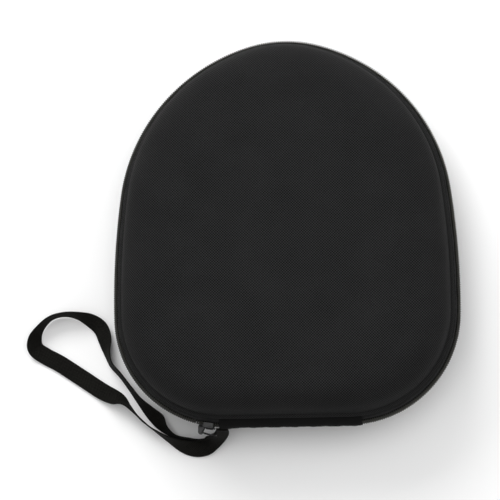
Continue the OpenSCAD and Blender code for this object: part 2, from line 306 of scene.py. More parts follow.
def woven(name, pitch_u, pitch_v, low, high, rough=0.72, sheen=0.0, bump=0.35, spec=0.35, creases=False, speck=0.25, over_under_sheen=0.22):
    """Plain weave: two sets of round yarns that pass over and under each other, the cells where warp or weft lies on
    top painted lighter or darker as sheen. Pitches in mm.
    """
    m = Nodes(name)
    u, v, vec = m.uv()
    place = m.place()
    wob = m.noise(place, 60.0, 2.0)
    wob = m.math("MULTIPLY", m.math("SUBTRACT", wob, 0.5), 0.5)
    x = m.math("ADD", m.math("MULTIPLY", u, 100.0 / pitch_u * math.pi), wob)
    y = m.math("ADD", m.math("MULTIPLY", v, 100.0 / pitch_v * math.pi), wob)
    sx, sy = m.math("SINE", x), m.math("SINE", y)
    ax, ay = m.math("ABSOLUTE", sx), m.math("ABSOLUTE", sy)
    over = m.math("GREATER_THAN", m.math("MULTIPLY", sx, sy), 0.0)
    warp = m.math("MULTIPLY", m.math("POWER", ax, 0.6), m.math("MULTIPLY_ADD", ay, 0.5, 0.5))
    weft = m.math("MULTIPLY", m.math("POWER", ay, 0.6), m.math("MULTIPLY_ADD", ax, 0.5, 0.5))
    n = m.t.nodes.new("ShaderNodeMix")
    m.link(over, n.inputs[0])
    m.link(weft, n.inputs[2])
    m.link(warp, n.inputs[3])
    fx = m.math("ABSOLUTE", m.math("SINE", m.math("MULTIPLY", x, 4.0)))
    fy = m.math("ABSOLUTE", m.math("SINE", m.math("MULTIPLY", y, 4.0)))
    f = m.t.nodes.new("ShaderNodeMix")
    m.link(over, f.inputs[0])
    m.link(fy, f.inputs[2])
    m.link(fx, f.inputs[3])
    h = m.math("ADD", m.math("MULTIPLY", n.outputs[0], 0.88), m.math("MULTIPLY", f.outputs[0], 0.12))
    grain = m.noise(place, 900.0, 2.0, 0.7)
    blotch = m.noise(place, 35.0, 3.0)
    k = m.math("ADD", m.math("MULTIPLY", h, 0.65), m.math("MULTIPLY", m.math("SUBTRACT", grain, 0.5), speck * 2))
    # painted sheen: cells where the warp lies on top are made lighter than cells where the weft does, for the shine the
    # two yarn directions catch differently
    k = m.math("ADD", k, m.math("MULTIPLY", m.math("SUBTRACT", over, 0.5), over_under_sheen))
    k = m.math("ADD", k, m.math("MULTIPLY", m.math("SUBTRACT", blotch, 0.5), 0.35), clamp=True)
    m.link(m.colour(k, low, high), m.bsdf.inputs["Base Color"])
    m.link(m.ramp(grain, 0.2, 0.8, rough - 0.08, rough + 0.1), m.bsdf.inputs["Roughness"])
    nrm = m.bump(m.math("ADD", h, m.math("MULTIPLY", grain, 0.25)), bump, 0.00022)
    if creases:
        big = m.noise(place, 22.0, 2.0, 0.5)
        nrm = m.bump(big, 0.25, 0.0012, nrm)
    m.normal(nrm)
    socket(m.bsdf, "Specular IOR Level", spec)
    if sheen:
        socket(m.bsdf, "Sheen Weight", sheen)
        socket(m.bsdf, "Sheen Roughness", 0.45)
    return m.mat


def ribbed(name, pitch, low, high, rough=0.75, along=0, bump=0.4, cross=0.35, crease_shade=None):
    """Fine ribs across or along a tape, with a herringbone lean. An optional pair of v values holds the colour dark
    below the first and fades it back by the second: painted shade in a crease.
    """
    m = Nodes(name)
    u, v, vec = m.uv()
    place = m.place()
    a, b = (u, v) if along == 0 else (v, u)
    lean = m.math("PINGPONG", m.math("MULTIPLY", b, 100.0), 1.5)
    x = m.math("MULTIPLY", m.math("ADD", m.math("MULTIPLY", a, 100.0), m.math("MULTIPLY", lean, cross)), math.pi / pitch)
    h = m.math("ABSOLUTE", m.math("SINE", x))
    grain = m.noise(place, 1100.0, 2.0, 0.7)
    k = m.math("ADD", m.math("MULTIPLY", h, 0.6), m.math("MULTIPLY", grain, 0.4), clamp=True)
    # painted shade: the colour is held dark below the first v and fades to full by the second, standing in for the
    # shade in the crease beside the shell's lip
    if crease_shade:
        k = m.math("MULTIPLY", k, m.ramp(v, crease_shade[0], crease_shade[1], 0.0, 1.0))
    m.link(m.colour(k, low, high), m.bsdf.inputs["Base Color"])
    m.link(m.ramp(grain, 0.2, 0.8, rough - 0.08, rough + 0.1), m.bsdf.inputs["Roughness"])
    m.normal(m.bump(m.math("ADD", h, m.math("MULTIPLY", grain, 0.3)), bump, 0.00015))
    socket(m.bsdf, "Specular IOR Level", 0.15)
    return m.mat


def grainy(name, low, high, rough, scale, bump=0.3, depth=0.0003, spec=0.4, metallic=0.0, coat=0.0, sheen=0.0, wear=None):
    m = Nodes(name)
    place = m.place()
    fine = m.noise(place, scale, 4.0, 0.6)
    wide = m.noise(place, scale * 0.06, 3.0)
    k = m.math("ADD", m.math("MULTIPLY", fine, 0.6), m.math("MULTIPLY", wide, 0.4), clamp=True)
    k = m.ramp(k, 0.3, 0.7)
    m.link(m.colour(k, low, high), m.bsdf.inputs["Base Color"])
    m.link(m.ramp(wide, 0.3, 0.7, rough - 0.07, rough + 0.09), m.bsdf.inputs["Roughness"])
    m.normal(m.bump(fine, bump, depth))
    socket(m.bsdf, "Specular IOR Level", spec)
    socket(m.bsdf, "Metallic", metallic)
    if coat:
        socket(m.bsdf, "Coat Weight", coat)
        socket(m.bsdf, "Coat Roughness", 0.12)
    if sheen:
        socket(m.bsdf, "Sheen Weight", sheen)
        socket(m.bsdf, "Sheen Roughness", 0.5)
    return m.mat


def g(v):
    return (v, v, v * 1.01)


MAT = {
    # the cover and the ribbon carry strong painted sheen between their over and under cells
    "cover": woven("woven_cover", 0.78, 0.78, g(0.0004), g(0.0325), rough=0.7, bump=0.8, spec=0.06, creases=True, over_under_sheen=0.8),
    "ribbon": woven("ribbon_weave", 0.62, 0.62, g(0.0004), (0.019, 0.0185, 0.016), rough=0.72, bump=0.8, spec=0.05, speck=0.5, over_under_sheen=0.6),
    "strip": woven("strip_weave", 0.5, 0.5, g(0.001), g(0.011), rough=0.75, bump=0.6, spec=0.08),
    # painted shade: the tape is dark under the lip and for about 2 mm down its outer slope beside the lip, for the
    # shade in that crease
    "tape": ribbed("zip_tape_weave", 0.55, g(0.0025), g(0.030), along=0, crease_shade=(0.200, 0.220)),
    "elastic": ribbed("elastic_rib", 0.9, g(0.006), g(0.028), along=0, cross=0.0, bump=0.6),
    "binding": ribbed("binding_weave", 0.45, g(0.007), g(0.024), along=0, cross=0.6),
    "coil": grainy("coil_nylon", (0.012, 0.012, 0.010), (0.045, 0.044, 0.036), 0.38, 300.0, bump=0.1, spec=0.5),
    "thread": grainy("thread_poly", g(0.005), g(0.020), 0.7, 1500.0, bump=0.4, depth=0.0001, spec=0.1),
    "lining": grainy("lining_knit", g(0.018), g(0.045), 0.85, 1400.0, bump=0.6, depth=0.0004, spec=0.2, sheen=0.35),
    "foam": grainy("foam_board", g(0.02), g(0.04), 0.9, 700.0, bump=0.5, depth=0.0003, spec=0.2),
    "net": grainy("net_yarn", g(0.006), g(0.022), 0.7, 1800.0, bump=0.4, depth=0.0001),
    "metal": grainy("slider_enamel", g(0.008), g(0.030), 0.2, 240.0, bump=0.12, depth=0.0002, spec=0.3, metallic=0.8, coat=0.25),
}


def dress(ob, mat, slot, *nodes):
    ob.data.materials.clear()
    ob.data.materials.append(MAT[mat])
    if nodes:
        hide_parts(*nodes)
    return ob


# ------------------------------------------------------------------ wrist strap
ROUTE = [
    ((-35.9, -0.8, 28.6), (-1, 0, 0)), ((-35.9, -0.8, 25.6), (-1, 0, 0)),
    ((-36.3, -1.5, 22), (-1, 0, 0.1)), ((-37.6, -2.6, 17.8), (-1, 0, 0.35)),
    ((-40.4, -3.2, 13.2), (-0.85, 0, 0.55)), ((-44.6, -4, 9.2), (-0.6, -0.1, 0.8)),
    ((-50, -4.9, 6.5), (-0.25, -0.2, 1)), ((-57, -4.6, 5.4), (0, 0, 1)),
    ((-66.5, -3.6, 5.2), (0, 0.25, 1)), ((-72.6, 0.8, 4.6), (0.2, 0.35, 0.9)),
    ((-77.4, 6.6, 3.4), (0.6, 0.5, 0.55)), ((-82.6, 11.6, 3.8), (0.5, 0.45, 0.7)),
    ((-89, 18.6, 4.8), (0.3, 0.25, 0.9)), ((-94.6, 26.2, 5.2), (0.25, 0.15, 0.95)),
    ((-100.3, 33.8, 5.2), (0.25, 0.1, 0.95)), ((-105.8, 40.2, 5.2), (0.3, 0.05, 0.95)),
    ((-108.2, 47, 5), (0.5, 0, 0.9)), ((-110, 55.6, 3.8), (0.9, 0.1, 0.5)),
    ((-113, 62.6, 3), (0.8, 0.6, 0.4)), ((-118.6, 67, 3.8), (0.3, 0.8, 0.7)),
    ((-126, 69.9, 5), (0, 0.4, 1)), ((-134.5, 71, 5.4), (0, 0.1, 1)),
    ((-142.8, 69, 5.4), (-0.1, 0, 1)), ((-149.2, 63, 5.2), (-0.3, 0, 1)),
    ((-152.6, 56.6, 3.8), (-0.7, -0.2, 0.7)), ((-152.2, 51, 1.6), (-0.6, -0.8, 0.2)),
    ((-146.6, 46.8, 0.9), (-0.5, -0.9, 0)), ((-137.4, 41.8, 0.9), (-0.5, -0.9, 0)),
    ((-124, 33, 0.9), (-0.6, -0.8, 0)), ((-111.6, 24.8, 1.2), (-0.5, -0.8, 0.1)),
    ((-103, 20.4, 2.6), (-0.4, -0.7, 0.5)), ((-96.6, 16.4, 5), (-0.1, -0.2, 1)),
    ((-91, 10.6, 5.4), (0, 0, 1)), ((-85.4, 5.2, 5.4), (0, 0, 1)),
    ((-79.6, 0.8, 5.3), (0, 0.1, 1)), ((-71.2, -4.6, 5), (0.1, 0.3, 1)),
    ((-62.6, -8.6, 3.6), (0.1, 0.7, 0.7)), ((-55.4, -9.9, 2.2), (0, 1, 0.3)),
    ((-49.4, -9, 2.6), (-0.4, 0.9, 0)), ((-45.2, -6.8, 6.6), (-0.8, 0.6, 0)),
    ((-41.6, -5.4, 12), (-0.9, 0.2, 0)), ((-38.4, -4.4, 17.6), (-0.9, 0, 0.1)),
    ((-36.2, -2.9, 22), (-1, 0, 0)), ((-35.7, -1.8, 25.6), (-1, 0, 0)),
    ((-35.7, -1.6, 28.6), (-1, 0, 0)),
]
STRAP_W, STRAP_T = 10.0, 0.8


def catmull(a, b, c, d, t):
    return 0.5 * ((2 * b) + (c - a) * t + (2 * a - 5 * b + 4 * c - d) * t * t + (3 * b - a - 3 * c + d) * t ** 3)


def ribbon_frames(sub):
    """Centre, width direction and thickness direction along the strap, as in the CAD but smoother."""
    pts = [Vector((p[0], p[1] + Y0, p[2])) for p, _ in ROUTE]
    n = len(pts)
    along = [(pts[min(n - 1, i + 1)] - pts[max(0, i - 1)]).normalized() for i in range(n)]
    wide = []
    for i in range(n):
        w = Vector(ROUTE[i][1])
        w = (w - along[i] * w.dot(along[i])).normalized()
        if wide and w.dot(wide[-1]) < 0:
            w = -w
        wide.append(w)
    out = []
    for i in range(n):
        w, k = wide[i], along[i].cross(wide[i])
        low = (abs(w.z) * STRAP_W + abs(k.z) * STRAP_T) / 2 + 0.05
        pts[i].z = max(pts[i].z, low)
    for i in range(n - 1):
        for k in range(sub):
            t = k / sub
            q = [max(0, i - 1), i, i + 1, min(n - 1, i + 2)]
            p = catmull(*[pts[j] for j in q], t)
            w = catmull(*[wide[j] for j in q], t)
            d = catmull(*[pts[j] for j in q], min(1.0, t + 0.05)) - catmull(*[pts[j] for j in q], max(0.0, t - 0.05))
            out.append((p, w, d.normalized()))
    out.append((pts[-1], wide[-1], along[-1]))
    done = []
    for i, (p, w, d) in enumerate(out):
        # the sewn ends stand a little nearer the slider than the tack's middle
        e = min(i, len(out) - 1 - i) / (sub * 6.0)
        p = p + Vector((-1.8 * max(0.0, 1 - e * e), 0, 0))
        w = (w - d * w.dot(d)).normalized()
        k = d.cross(w)
        low = (abs(w.z) * STRAP_W + abs(k.z) * STRAP_T) / 2 + 0.03
        p = Vector((p.x, p.y, max(p.z, low)))
        done.append((p, w, k))
    return done


def make_strap():
    frames = ribbon_frames(5)
    rows = []
    half = [(-1, 0.0), (-0.985, 0.55), (-0.93, 0.9), (-0.6, 0.86), (-0.3, 0.84), (0, 0.83), (0.3, 0.84), (0.6, 0.86), (0.93, 0.9), (0.985, 0.55), (1, 0.0)]
    prof = half + [(a, -b) for a, b in half[-2:0:-1]]
    run = lengths([f[0] for f in frames])
    for i, (p, w, k) in enumerate(frames):
        cup = 0.16 * math.sin(run[i] / 9.0)
        # gathered narrower towards the two sewn ends
        e = min(run[i], run[-1] - run[i])
        q = max(0.0, 1 - e / 17.0)
        q = q * q * (3 - 2 * q)
        half_w = STRAP_W / 2 * (1 - 0.36 * q)
        rows.append([p + w * (a * half_w) + k * (b * STRAP_T / 2 + cup * (a * a - 0.4) * 0.5) for a, b in prof])
    for r in rows:
        for v in r:
            v.z = max(v.z, 0.02)
    cols = lengths([(a * 5, b * 0.5, 0) for a, b in prof + prof[:1]])
    uv = {"rows": [x / 100 for x in run], "cols": [x / 100 for x in cols]}
    ob = grid_mesh("wrist_strap", rows, uv, False, True, caps=True, sharp=60)
    path = [f[0] * MM for f in frames]
    return ob, path, run[-1] * MM


strap, strap_path, strap_len = make_strap()
dress(strap, "ribbon", "ribbon", "hand_strap")
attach(strap, "base")

# ------------------------------------------------------------------ shells
WALL, DRAFT, SHW, SHH, SEAM = 5.2, 1.4, 17.0, 15.0, 5.9
SHO, SHZ = WALL + DRAFT + SHW, HALF - SHH
CENTRE = Vector((0.0, 118.0))


def shell_profile(d, n=14):
    """From the seam up the wall to the border of the flat panel."""
    pts = [(WALL + d, SEAM), (WALL + d + DRAFT * 0.5, (SEAM + SHZ) / 2)]
    for i in range(n + 1):
        a = math.radians(90 * i / n)
        pts.append((SHO - (SHW - d) * math.cos(a), SHZ + (SHH - d) * math.sin(a)))
    return pts


LIP = [(WALL - 0.5, SEAM), (WALL - 0.95, SEAM + 0.45), (WALL - 1.12, SEAM + 1.1), (WALL - 1.02, SEAM + 1.75),
       (WALL - 0.62, SEAM + 2.25), (WALL - 0.1, SEAM + 2.65), (WALL + 0.45, SEAM + 3.3)]


def shell(name, sign, d1, d2, lip, crown, step=3.2):
    """A moulded layer of one shell between two depths: wall, rounded shoulder and slightly crowned panel."""
    s_list = [LOOP * i / int(LOOP / step) for i in range(int(LOOP / step))]
    st = [station(s) for s in s_list]
    n = len(st)
    edge = [Vector((p[0] - SHO * q[0], p[1] - SHO * q[1])) for p, q in st]
    shares = [0.985, 0.95, 0.9, 0.82, 0.72, 0.6, 0.47, 0.34, 0.2, 0.09]

    def wrinkle(s, o, h, x, y):
        """Shallow folds that run beside the rim where the cloth was drawn round the tight corners."""
        if not lip:
            return 0.0
        c = max(0.0, 1 - abs(s - (LOOP - FLAT - 48)) / 45) + 0.7 * max(0.0, 1 - abs(s - (FLAT + 48)) / 45)
        e = math.exp(-((o - 20) / 7.0) ** 2)
        return 0.16 * c * e * math.sin(o * 1.9 + 2.0 * noise.noise(Vector((x, y, 3.0)) * 0.03))

    def side(d, use_lip):
        loops = []
        prof = shell_profile(d)
        if use_lip:
            prof = LIP + prof[1:]
        dist = lengths([(o, h, 0) for o, h in prof])
        total = dist[-1]
        for (o, h), l in zip(prof, dist):
            row, uvs = [], []
            for (p, q), e, s in zip(st, edge, s_list):
                x, y = p[0] - o * q[0], p[1] - o * q[1]
                k = wrinkle(s, o, h, x, y)
                big = 0.12 * noise.noise(Vector((x, y, h)) * 0.035) if lip else 0.0
                row.append(Vector((x + q[0] * (k * 0.5), y + q[1] * (k * 0.5) + Y0, HALF + sign * (h + (k + big) * (0.0 if o < SHO - SHW else 1.0)))))
                uvs.append(((e.x + q[0] * (total - l)) / 100, (e.y + q[1] * (total - l)) / 100))
            loops.append((row, uvs))
        for t in shares:
            row, uvs = [], []
            for e in edge:
                c = CENTRE + (e - CENTRE) * t
                big = 0.12 * noise.noise(Vector((c.x, c.y, HALF)) * 0.035) if lip else 0.0
                z = HALF - d + crown * (1 - t * t) + big
                row.append(Vector((c.x, c.y + Y0, HALF + sign * z)))
                uvs.append((c.x / 100, c.y / 100))
            loops.append((row, uvs))
        top = Vector((CENTRE.x, CENTRE.y + Y0, HALF + sign * (HALF - d + crown)))
        return loops, top

    outer, top = side(d1, lip)
    inner, bot = side(d2, False)
    loops = outer[::-1] + inner
    verts = [v for row, _ in loops for v in row] + [top, bot]
    uvs = [u for _, us in loops for u in us] + [(CENTRE.x / 100, CENTRE.y / 100)] * 2
    faces = []
    for i in range(len(loops) - 1):
        for j in range(n):
            k = (j + 1) % n
            faces.append((i * n + j, i * n + k, (i + 1) * n + k, (i + 1) * n + j))
    a, b, last = len(verts) - 2, len(verts) - 1, (len(loops) - 1) * n
    for j in range(n):
        k = (j + 1) % n
        faces.append((a, k, j))
        faces.append((b, last + j, last + k))
    return outward(new_object(name, verts, faces, uvs, True, 50))


shells = {}
for half, sign, crown in (("lid", 1, 0.7), ("base", -1, 0.0)):
    c = shell(half + "_shell_cover", sign, 0.0, 0.8, True, crown)
    dress(c, "cover", "woven_cover", half + "_cover")
    l = shell(half + "_shell_lining", sign, 4.8, 5.6, False, crown, step=4.0)
    dress(l, "lining", "lining", half + "_lining")
    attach(c, half)
    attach(l, half)
    shells[half] = (c, l)
    core = bpy.data.objects.get(half + "_core")
    core.data.materials.clear()
    core.data.materials.append(MAT["foam"])

# ------------------------------------------------------------------ zip
LEFT_A = math.degrees(math.asin(1.0 / 65)) + 0.35
RIGHT_A = math.degrees(math.asin(6.5 / 65)) + 0.35
SLIDER_AT, SLIDER_A = 9.7, 4.0
LID_LEFT = SLIDER_AT + SLIDER_A + 1.4
S_RIGHT = corner_s(RIGHT_A, False)
S_LEFT = corner_s(LEFT_A)
S_LID = corner_s(LID_LEFT)
S_JOIN = corner_s(SLIDER_AT - 1.5)

TAPE = [(1.5, 0.4), (3.1, 0.4), (3.1, 2.6), (4.6, 5.2), (10.8, 5.2), (10.8, 5.9), (4.3, 5.9), (2.4, 2.9), (2.4, 0.95), (1.5, 0.85)]
IN_O = WALL + 5.6
LEAN = DRAFT / (SHZ - SEAM)
BIND = [(IN_O - 2.8, SEAM - 1.4), (IN_O + 1, SEAM - 1.4), (IN_O + 1 + 4 * LEAN, SEAM + 4), (IN_O + 4 * LEAN, SEAM + 4),
        (IN_O, SEAM), (IN_O, SEAM - 0.7), (IN_O - 2.8, SEAM - 0.7)]


def ripple(s, o, h):
    k = 1.0 if o < 7 else 0.0
    return (0.10 * k * math.sin(s * 0.31), 0.05 * k * math.sin(s * 0.23 + 1.0))


def coil(name, a, b, sign, pitch=1.3, turn=10, sides=6, phase=0.0):
    """A nylon coil sewn along the tape: a flattened helix with a wider head at its meeting edge."""
    n = int((b - a) / pitch)
    rows, run = [], []
    r = 0.36
    for i in range(n * turn + 1):
        t = i / turn
        a_ = 2 * math.pi * (t + phase)
        s = a + t * pitch
        co, ch = math.cos(a_), math.sin(a_)
        # flattened loop in (o, h), 0.36 mm wire
        o = 1.2 + (1.2 - r) * math.copysign(abs(co) ** 0.7, co)
        h = 1.5 + (1.4 - r) * math.copysign(abs(ch) ** 0.7, ch)
        head = 1.0 + 0.35 * max(0.0, -ch) ** 3
        p = at(s, o, HALF + sign * h)
        (_, _), (nx, ny) = station(s)
        ring = []
        out_v = Vector((nx, ny, 0.0))
        up_v = Vector((0, 0, 1.0))
        tang = Vector((-ny, nx, 0.0))
        d = out_v * (-(-math.sin(a_))) * 1.0
        # wire direction: derivative of the loop plus the pitch
        dirv = (out_v * math.sin(a_) * 5.0 + up_v * sign * math.cos(a_) * 6.0 + tang * pitch).normalized()
        u = dirv.cross(tang)
        u = u.normalized() if u.length > 1e-4 else out_v
        w = dirv.cross(u).normalized()
        for k in range(sides):
            q = 2 * math.pi * k / sides
            ring.append(p + u * (r * head * math.cos(q)) + w * (r * head * math.sin(q)))
        rows.append(ring)
        run.append(t * pitch / 100)
    uv = {"rows": run, "cols": [k * 0.0036 for k in range(sides + 1)]}
    return grid_mesh(name, rows, uv, False, True, caps=True, sharp=80)


def stitches(name, places, radius=0.19, length=2.7):
    """Separate stitches, each a plump bead of thread that dives into the cloth at both ends. places are (point, direction, up)."""
    verts, faces, uvs = [], [], []
    for p, d, up in places:
        side = d.cross(up).normalized()
        base = len(verts)
        m, k = 6, 6
        for i in range(m + 1):
            t = i / m
            r = radius * (0.35 + 0.65 * math.sin(math.pi * t) ** 0.5 if 0 < t < 1 else 0.3)
            lift = radius * 0.9 * math.sin(math.pi * t) - radius * 0.3
            c = p + d * (length * (t - 0.5)) + up * lift
            for j in range(k):
                q = 2 * math.pi * j / k
                verts.append(c + side * (r * math.cos(q)) + up * (r * math.sin(q)))
                uvs.append((t * length / 100, j / k * 0.01))
        for i in range(m):
            for j in range(k):
                a, b = base + i * k + j, base + i * k + (j + 1) % k
                faces.append((a, b, b + k, a + k))
        faces.append(tuple(base + j for j in range(k - 1, -1, -1)))
        faces.append(tuple(base + m * k + j for j in range(k)))
    return outward(new_object(name, verts, faces, uvs, True, 70))


def seam_places(a, b, o, h, up_o, up_h, sign, pitch=3.3):
    out = []
    n = int((b - a) / pitch)
    for i in range(n):
        s = a + (i + 0.5) * (b - a) / n
        (_, _), (nx, ny) = station(s)
        p = at(s, o, HALF + sign * h)
        d = Vector((-ny, nx, 0)).normalized()
        up = (Vector((nx, ny, 0)) * up_o + Vector((0, 0, sign * up_h))).normalized()
        out.append((p, d, up))
    return out


for half, sign, left in (("lid", 1, S_LID), ("base", -1, S_LEFT)):
    s_list = stations(S_RIGHT, left, 2.5)
    t = sweep(half + "_tape", s_list, soften(TAPE, 2, 0.2), sign, wave=ripple)
    dress(t, "tape", "zip_tape", half + "_zip_tape")
    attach(t, half)
    c = coil(half + "_coil", S_RIGHT + 0.4, left - 0.4, sign, phase=0.0 if sign > 0 else 0.5)
    dress(c, "coil", "zip_coil", half + "_zip_coil")
    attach(c, half)
    st = stitches(half + "_seam", seam_places(S_RIGHT, left, 3.35, 4.5, 0.82, 0.57, sign))
    dress(st, "thread", "thread", half + "_seam_thread")
    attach(st, half)
    bl = [LOOP * i / 240 for i in range(240)]
    b = sweep(half + "_bias_binding", bl, soften(BIND, 2, 0.25), sign, closed=True)
    dress(b, "binding", "binding", half + "_binding")
    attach(b, half)

# the first stretch of the lid's row stays joined to the base's, behind the shut slider
join = sweep("joined_tape", stations(S_LID + 0.3, S_LEFT, 2.0), soften(TAPE, 2, 0.2), 1, wave=ripple)
dress(join, "tape", "zip_tape")
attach(join, "base")
join_c = coil("joined_coil", S_LID + 0.4, S_LEFT - 0.4, 1)
dress(join_c, "coil", "zip_coil")
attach(join_c, "base")

# ------------------------------------------------------------------ hinge strip
G_LEFT, G_RIGHT = corner_s(LEFT_A - 0.35) - 2.6, corner_s(RIGHT_A - 0.35, False) + LOOP + 1.1
STRIP = [(10.8, 5.9), (4.3, 5.9), (2.9, 5.2), (1.6, 4.4), (0.7, 3.6), (0.1, 2.8), (-0.25, 2.0), (-0.4, 1.2), (-0.4, 0.4),
         (-0.4, -0.4), (-0.4, -1.2), (-0.25, -2.0), (0.1, -2.8), (0.7, -3.6), (1.6, -4.4), (2.9, -5.2), (4.3, -5.9), (10.8, -5.9)]
STRIP_IN = [(10.8, 5.2), (4.6, 5.2), (3.3, 4.5), (2.2, 3.8), (1.4, 3.1), (0.8, 2.4), (0.5, 1.7), (0.4, 1.0), (0.35, 0.3),
            (0.35, -0.3), (0.4, -1.0), (0.5, -1.7), (0.8, -2.4), (1.4, -3.1), (2.2, -3.8), (3.3, -4.5), (4.6, -5.2), (10.8, -5.2)]


def pucker(s, o, h):
    """The strip bulges at its left end, where the strap's ends are sewn in, and puckers lightly along its run."""
    t = (s - G_LEFT)
    k = 1.0 if o < 4.4 else 0.0
    bulge = -0.85 * math.exp(-((t - 2.5) / 4.0) ** 2)
    return (k * (bulge + 0.10 * math.sin(t * 0.55) + 0.07 * math.sin(t * 1.3 + h)), 0.0)


def arch(name, s_list, outer_p, inner_p, mat, slot, node, wave=None):
    ob = sweep(name, s_list, outer_p + inner_p[::-1], 1, wave=wave, sharp=50)
    dress(ob, mat, slot, node)
    return ob


gusset = arch("hinge_strip", stations(G_LEFT, G_RIGHT, 1.4), STRIP, STRIP_IN, "strip", "gusset", "hinge_gusset", pucker)
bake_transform(gusset)

BZ = SEAM - 1.4
IN_A = [(9.2, BZ), (8.6, 3.6), (8.0, 2.9), (7.75, 2.0), (7.6, 1.0), (7.6, 0), (7.6, -1.0), (7.75, -2.0), (8.0, -2.9), (8.6, -3.6), (9.2, -BZ)]
IN_B = [(8.3, BZ), (7.8, 3.6), (7.2, 2.9), (6.9, 2.0), (6.8, 1.0), (6.8, 0), (6.8, -1.0), (6.9, -2.0), (7.2, -2.9), (7.8, -3.6), (8.3, -BZ)]
inner = arch("hinge_inner_strip", stations(LOOP - FLAT, LOOP + FLAT, 2.0), IN_A, IN_B, "binding", "binding", "hinge_lining")
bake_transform(inner)

# stitches that hold the strip's two end folds, upright beside each end
end_places = []
for s0 in (G_LEFT + 1.6, G_RIGHT - 1.6):
    (_, _), (nx, ny) = station(s0)
    for k in range(2):
        z = HALF - 3.2 + k * 1.9
        o = -0.5 if k else 0.05
        bulge = 0.85 * math.exp(-((s0 - G_LEFT - 2.5) / 4.0) ** 2)
        end_places.append((at(s0, o - bulge, z), Vector((0, 0, 1.0)), Vector((nx, ny, 0))))
# zigzag tack through the strap's two ends, on their outer face
tack_places = []
for i in range(9):
    lean = 0.22 if i % 2 else -0.22
    tack_places.append((Vector((-38.05 + i * 0.39, Y0 - 2.08, HALF - 0.05)), Vector((lean, 0, 1.0)).normalized(), Vector((0, -1, 0))))
tack = stitches("strap_tack", tack_places, radius=0.17, length=1.5)
dress(tack, "thread", "thread", "strap_bartack")
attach(tack, "base")
ends = stitches("strip_end_stitches", end_places, radius=0.17, length=1.6)
dress(ends, "thread", "thread")
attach(ends, "base")

# ------------------------------------------------------------------ slider and pull
def wrap(p, a):
    """A point of the slider's own frame (out of the case, along the zip to the hinge, up) bent round the corner."""
    x, y, z = p
    ang = math.radians(-90 - (a - math.degrees(y / R3)))
    r = R3 + x
    return Vector((-FLAT + r * math.cos(ang), R3 + r * math.sin(ang) + Y0, HALF + z))


def block(verts, faces, outline, x0, x1, bevel=0.25, taper=None):
    """A plate: outline of (y, z), thick from x0 to x1, with rounded edges."""
    n = len(outline)
    cy = sum(p[0] for p in outline) / n
    cz = sum(p[1] for p in outline) / n
    rows = []
    for x, k in ((x0, bevel), (x0 + bevel * 0.3, bevel * 0.3), (x0 + bevel, 0), (x1 - bevel, 0), (x1 - bevel * 0.3, bevel * 0.3), (x1, bevel)):
        row = []
        for y, z in outline:
            d = math.hypot(y - cy, z - cz)
            f = max(0.2, (d - k) / d)
            row.append((x, cy + (y - cy) * f, cz + (z - cz) * f))
        rows.append(row)
    base = len(verts)
    for r in rows:
        verts.extend(r)
    m = len(rows)
    for i in range(m - 1):
        for j in range(n):
            a, b = base + i * n + j, base + i * n + (j + 1) % n
            faces.append((a, b, b + n, a + n))
    faces.append(tuple(base + j for j in range(n - 1, -1, -1)))
    faces.append(tuple(base + (m - 1) * n + j for j in range(n)))


def smooth_outline(points, n=4, r=0.6):
    return soften(points, n, r)


def tube(verts, faces, line, radius, sides=10):
    base = len(verts)
    for i, p in enumerate(line):
        p = Vector(p)
        d = (Vector(line[min(i + 1, len(line) - 1)]) - Vector(line[max(i - 1, 0)])).normalized()
        u = d.orthogonal().normalized() if i == 0 else (u - d * u.dot(d)).normalized()
        w = d.cross(u)
        for k in range(sides):
            q = 2 * math.pi * k / sides
            verts.append(tuple(p + u * radius * math.cos(q) + w * radius * math.sin(q)))
    for i in range(len(line) - 1):
        for k in range(sides):
            a, b = base + i * sides + k, base + i * sides + (k + 1) % sides
            faces.append((a, b, b + sides, a + sides))
    faces.append(tuple(base + k for k in range(sides - 1, -1, -1)))
    faces.append(tuple(base + (len(line) - 1) * sides + k for k in range(sides)))


def bent(name, verts, faces, a, sharp=40):
    pts = [wrap(v, a) for v in verts]
    uv = [(v[1] / 100, v[2] / 100) for v in verts]
    return outward(new_object(name, pts, faces, uv, True, sharp))


